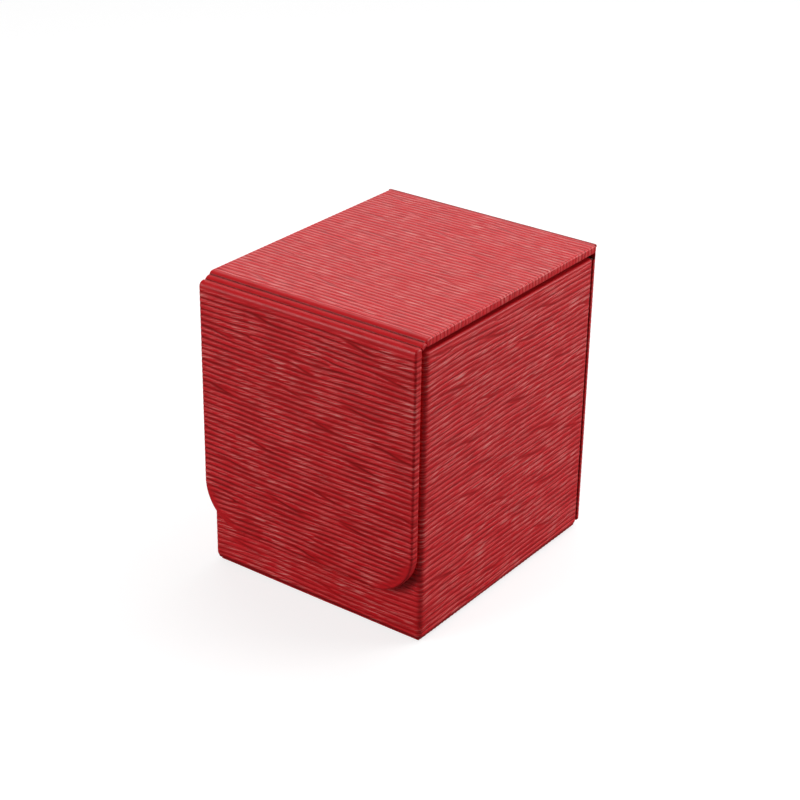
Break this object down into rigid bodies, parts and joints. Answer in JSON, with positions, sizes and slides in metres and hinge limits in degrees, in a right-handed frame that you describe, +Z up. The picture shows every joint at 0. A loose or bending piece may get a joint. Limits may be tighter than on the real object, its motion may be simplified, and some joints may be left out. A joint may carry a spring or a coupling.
{
  "type": "card deck box",
  "caption": "Upright box for a deck of sleeved trading cards, wrapped in ribbed leather, with a hinged lid and a long front flap that holds shut by magnets.",
  "frame": {"origin": "middle of the footprint, on the surface the box stands on", "axes": "+Z up; the flap faces -Y and the spine +Y; X runs along the creases"},
  "size_m": [0.0826, 0.0974, 0.102],
  "materials": {
    "ribbed_leather": "satin embossed with fine wavy horizontal ribs, a soft sheen on the ribs",
    "greyboard": "raw pressed paper board",
    "microfibre": "matt short-nap cloth",
    "plated_steel": "plated disc magnet"
  },
  "bodies": {
    "body": {"base_board": "greyboard", "front_board": "greyboard", "rear_board": "greyboard", "left_board": "greyboard", "right_board": "greyboard", "body_leather": "ribbed_leather", "base_leather": "ribbed_leather", "front_lining": "microfibre", "rear_lining": "microfibre", "left_lining": "microfibre", "right_lining": "microfibre", "floor_lining": "microfibre", "body_magnet_left": "plated_steel", "body_magnet_right": "plated_steel", "spine_board": "greyboard", "spine_leather": "ribbed_leather", "rear_hinge_lining": "microfibre"},
    "lid": {"lid_board": "greyboard", "lid_leather": "ribbed_leather", "lid_lining": "microfibre"},
    "front_strip": {"front_hinge_leather": "ribbed_leather", "front_hinge_lining": "microfibre"},
    "flap": {"flap_board": "greyboard", "flap_leather": "ribbed_leather", "flap_lining": "microfibre", "flap_magnet_left": "plated_steel", "flap_magnet_right": "plated_steel"}
  },
  "joints": [
    {"name": "lid_hinge", "type": "hinge", "parent": "body", "child": "lid", "pos_m": [0, 0.04875, 0.102], "axis": [-1, 0, 0], "range_deg": [0, 210]},
    {"name": "strip_fold", "type": "hinge", "parent": "lid", "child": "front_strip", "pos_m": [0, -0.04385, 0.1009], "axis": [-1, 0, 0], "range_deg": [0, 30]},
    {"name": "flap_fold", "type": "hinge", "parent": "front_strip", "child": "flap", "pos_m": [0, -0.04585, 0.0999], "axis": [-1, 0, 0], "range_deg": [0, 60]}
  ],
  "couplings": [
    {"joint": "strip_fold", "follows": "flap_fold", "ratio": 0.5}
  ]
}
